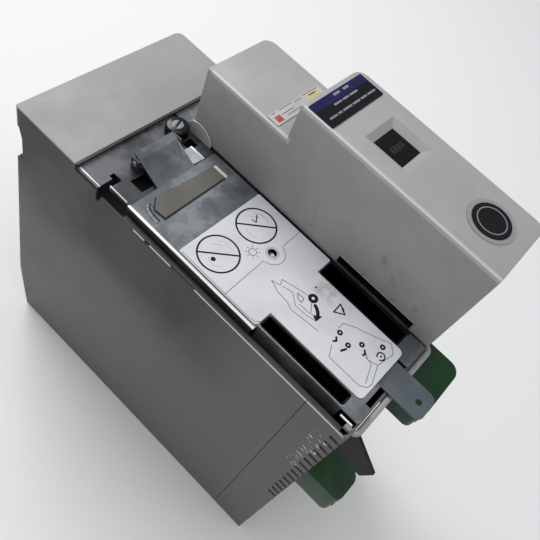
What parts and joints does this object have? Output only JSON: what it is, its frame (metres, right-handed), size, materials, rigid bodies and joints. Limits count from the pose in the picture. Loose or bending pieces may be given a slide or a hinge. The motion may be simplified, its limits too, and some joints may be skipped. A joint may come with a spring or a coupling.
{
  "type": "servo drive module",
  "caption": "Wall-mounted servo drive module: sheet-steel housing, stepped plastic control pod, swing-up front panel with finger slots, locking tab, green power plugs and fans.",
  "frame": {"origin": "on the back mounting face, under the middle of the whole module's box, with the module lying on its back", "axes": "+Z out of the front face, +Y towards the plug end, +X towards the side wall beside the swing panel"},
  "size_m": [0.14, 0.323, 0.3389],
  "materials": {
    "painted_cap_steel": "satin light grey paint",
    "painted_wall_steel": "satin mid grey paint, lightly scuffed",
    "aluminium_plate": "plain mill finish",
    "galvanised_steel": "galvanised sheet with a faint spangle",
    "zinc_plated_steel": "blue zinc plate",
    "copper_strip": "plain copper strip",
    "pod_plastic": "fine moulded texture, light grey",
    "black_plastic": "moulded black",
    "smoked_window": "smoked and polished",
    "clear_acrylic": "clear",
    "green_plastic": "moulded green",
    "white_film": "matt printed film with plain line pictograms",
    "dark_film": "printed film in blue and black with plain bars",
    "circuit_board": "green solder mask",
    "capacitor_sleeve": "dark shrink sleeve",
    "module_case": "cream moulded case"
  },
  "bodies": {
    "housing": {"front_cap": "painted_cap_steel", "end_rim": "painted_cap_steel", "side_wall_left": "painted_wall_steel", "side_wall_right": "painted_wall_steel", "end_cover": "painted_wall_steel", "recess_wall": "painted_wall_steel", "vent_cover": "painted_wall_steel", "back_plate": "aluminium_plate", "heat_sink": "aluminium_plate", "hinge_plate": "galvanised_steel", "hinge_bracket": "galvanised_steel", "hinge_rod": "zinc_plated_steel", "pod_mount_plate": "galvanised_steel", "inner_shield": "galvanised_steel", "board_bracket_left": "galvanised_steel", "board_bracket_right": "galvanised_steel", "board_standoff_1": "zinc_plated_steel", "board_standoff_2": "zinc_plated_steel", "board_standoff_3": "zinc_plated_steel", "board_standoff_4": "zinc_plated_steel", "bus_bar_positive": "copper_strip", "bus_bar_negative": "copper_strip", "bus_capacitor_1": "capacitor_sleeve", "bus_capacitor_2": "capacitor_sleeve", "bus_capacitor_3": "capacitor_sleeve", "bus_capacitor_4": "capacitor_sleeve", "power_module": "module_case", "power_board": "circuit_board", "driver_board": "circuit_board", "charge_light_pipe": "clear_acrylic", "pod_cover": "pod_plastic", "pod_base": "black_plastic", "badge": "black_plastic", "display_module": "black_plastic", "display_window": "smoked_window", "io_connector": "black_plastic", "control_board": "circuit_board", "name_plate": "dark_film", "pod_strip_label": "white_film", "plug_header_narrow": "black_plastic", "plug_header_wide": "black_plastic", "side_guard": "black_plastic", "fan_frame_left": "black_plastic", "fan_frame_right": "black_plastic"},
    "panel": {"swing_panel": "galvanised_steel", "panel_label": "white_film", "finger_well_left": "black_plastic", "finger_well_right": "black_plastic", "tab_guide_pin": "zinc_plated_steel"},
    "tab": {"locking_tab": "zinc_plated_steel"},
    "screw": {"captive_screw": "black_plastic"},
    "plug_narrow": {"power_plug_narrow": "green_plastic"},
    "plug_wide": {"power_plug_wide": "green_plastic"},
    "fan_left": {"fan_rotor_left": "black_plastic"},
    "fan_right": {"fan_rotor_right": "black_plastic"}
  },
  "joints": [
    {"name": "panel_hinge", "type": "hinge", "parent": "housing", "child": "panel", "pos_m": [0.0242, -0.0775, 0.262], "axis": [1, 0, 0], "range_deg": [0, 80]},
    {"name": "tab_slide", "type": "slide", "parent": "panel", "child": "tab", "axis": [0, 1, 0], "range_m": [0, 0.006]},
    {"name": "screw_turn", "type": "hinge", "parent": "housing", "child": "screw", "pos_m": [-0.0025, -0.0862, 0.258], "axis": [0, 0, 1], "continuous": true},
    {"name": "plug_narrow_pull", "type": "slide", "parent": "housing", "child": "plug_narrow", "axis": [0, 1, 0], "range_m": [0, 0.012]},
    {"name": "plug_wide_pull", "type": "slide", "parent": "housing", "child": "plug_wide", "axis": [0, 1, 0], "range_m": [0, 0.012]},
    {"name": "fan_left_spin", "type": "hinge", "parent": "housing", "child": "fan_left", "pos_m": [-0.0342, -0.137, 0.034], "axis": [0, 1, 0], "continuous": true},
    {"name": "fan_right_spin", "type": "hinge", "parent": "housing", "child": "fan_right", "pos_m": [0.0342, -0.137, 0.034], "axis": [0, 1, 0], "continuous": true}
  ]
}
